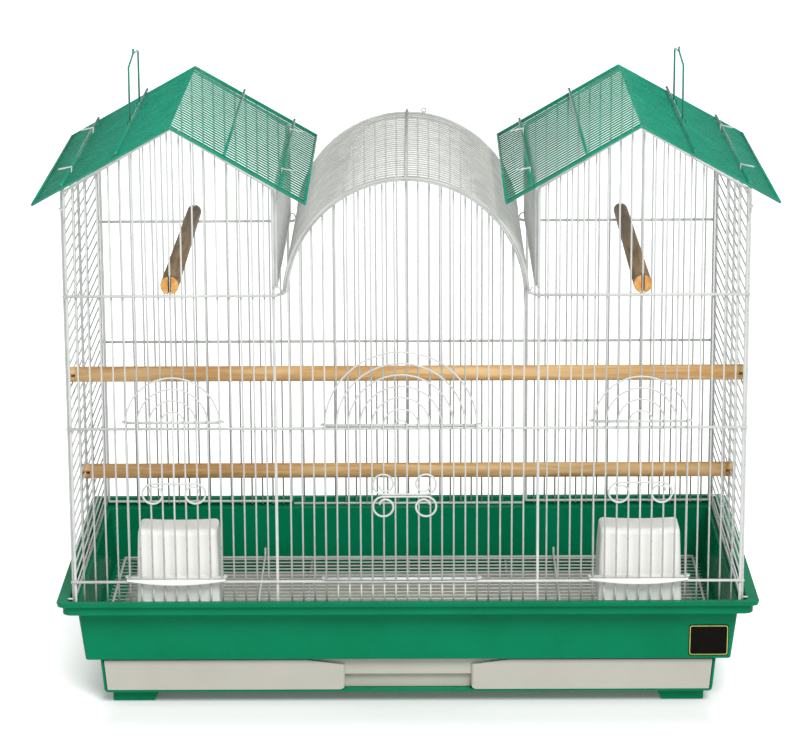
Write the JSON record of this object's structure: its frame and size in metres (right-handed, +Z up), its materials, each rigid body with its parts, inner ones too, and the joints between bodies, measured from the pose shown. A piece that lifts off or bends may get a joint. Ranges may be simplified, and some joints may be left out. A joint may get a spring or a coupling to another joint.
{
  "type": "bird cage",
  "caption": "Canary breeding cage: green tub with a pull-out drawer and a white wire cage with gabled towers, a domed centre roof, sliding doors, seed cups and perches.",
  "frame": {"origin": "on the table, under the middle of the tub's width and depth", "axes": "+X along the tub to the viewer's right, -Y towards the doors, +Z up"},
  "size_m": [0.6818, 0.3562, 0.6035],
  "materials": {
    "green_plastic": "smooth moulded plastic with a soft gloss",
    "drawer_plastic": "smooth moulded plastic, pale warm grey",
    "white_plastic": "smooth moulded plastic, off-white",
    "plate": "dark printed plate with a thin border, no lettering",
    "white_wire": "steel wire, glossy white coating",
    "grey_wire": "steel wire, pale grey coating",
    "green_wire": "steel wire, glossy green coating",
    "perch_wood": "turned rod, light tan",
    "gable_perch_wood": "turned rod, brown"
  },
  "bodies": {
    "base": {"tub": "green_plastic", "drawer_housing": "green_plastic", "foot_front_left": "green_plastic", "foot_front_right": "green_plastic", "foot_back_left": "green_plastic", "foot_back_right": "green_plastic", "name_plate": "plate"},
    "grille": {"floor_grille": "white_wire"},
    "drawer": {"drawer_floor": "drawer_plastic", "drawer_walls": "drawer_plastic", "drawer_front": "drawer_plastic"},
    "cage": {"front_panel": "white_wire", "back_panel": "white_wire", "left_side_panel": "white_wire", "right_side_panel": "white_wire", "left_tower_wall": "white_wire", "right_tower_wall": "white_wire", "left_gable_roof": "green_wire", "right_gable_roof": "green_wire", "dome_roof": "grey_wire", "left_seed_cup": "white_plastic", "right_seed_cup": "white_plastic", "upper_perch": "perch_wood", "lower_perch": "perch_wood", "left_gable_perch": "gable_perch_wood", "right_gable_perch": "gable_perch_wood", "left_outer_clip_front": "white_wire", "left_outer_clip_back": "white_wire", "left_inner_clip_front": "white_wire", "left_inner_clip_back": "white_wire", "right_outer_clip_front": "white_wire", "right_outer_clip_back": "white_wire", "right_inner_clip_front": "white_wire", "right_inner_clip_back": "white_wire", "corner_hook_front_left": "white_wire", "corner_hook_front_right": "white_wire", "corner_hook_back_left": "white_wire", "corner_hook_back_right": "white_wire", "valley_hook_front_left": "white_wire", "valley_hook_front_right": "white_wire", "valley_hook_back_left": "white_wire", "valley_hook_back_right": "white_wire", "dome_ring_hook": "white_wire"},
    "main_door": {"main_door": "white_wire", "main_door_upper_scroll": "white_wire", "main_door_lower_scroll": "white_wire"},
    "left_cup_door": {"left_cup_door": "white_wire", "left_cup_scroll": "white_wire"},
    "right_cup_door": {"right_cup_door": "white_wire", "right_cup_scroll": "white_wire"},
    "left_handle": {"left_carry_handle": "green_wire"},
    "right_handle": {"right_carry_handle": "green_wire"}
  },
  "joints": [
    {"name": "drawer_slide", "type": "slide", "parent": "base", "child": "drawer", "axis": [0, -1, 0], "range_m": [0, 0.28]},
    {"name": "grille_lift", "type": "slide", "parent": "base", "child": "grille", "axis": [0, 0, 1], "range_m": [0, 0.03]},
    {"name": "cage_lift", "type": "slide", "parent": "base", "child": "cage", "axis": [0, 0, 1], "range_m": [0, 0.12]},
    {"name": "main_door_lift", "type": "slide", "parent": "cage", "child": "main_door", "axis": [0, 0, 1], "range_m": [0, 0.14]},
    {"name": "left_cup_door_lift", "type": "slide", "parent": "cage", "child": "left_cup_door", "axis": [0, 0, 1], "range_m": [0, 0.115]},
    {"name": "right_cup_door_lift", "type": "slide", "parent": "cage", "child": "right_cup_door", "axis": [0, 0, 1], "range_m": [0, 0.115]},
    {"name": "left_handle_swing", "type": "hinge", "parent": "cage", "child": "left_handle", "pos_m": [-0.26226, 0.0273, 0.5386], "axis": [0, 1, 0], "range_deg": [-115, 55]},
    {"name": "right_handle_swing", "type": "hinge", "parent": "cage", "child": "right_handle", "pos_m": [0.26226, 0.0273, 0.5386], "axis": [0, 1, 0], "range_deg": [-55, 115]}
  ]
}
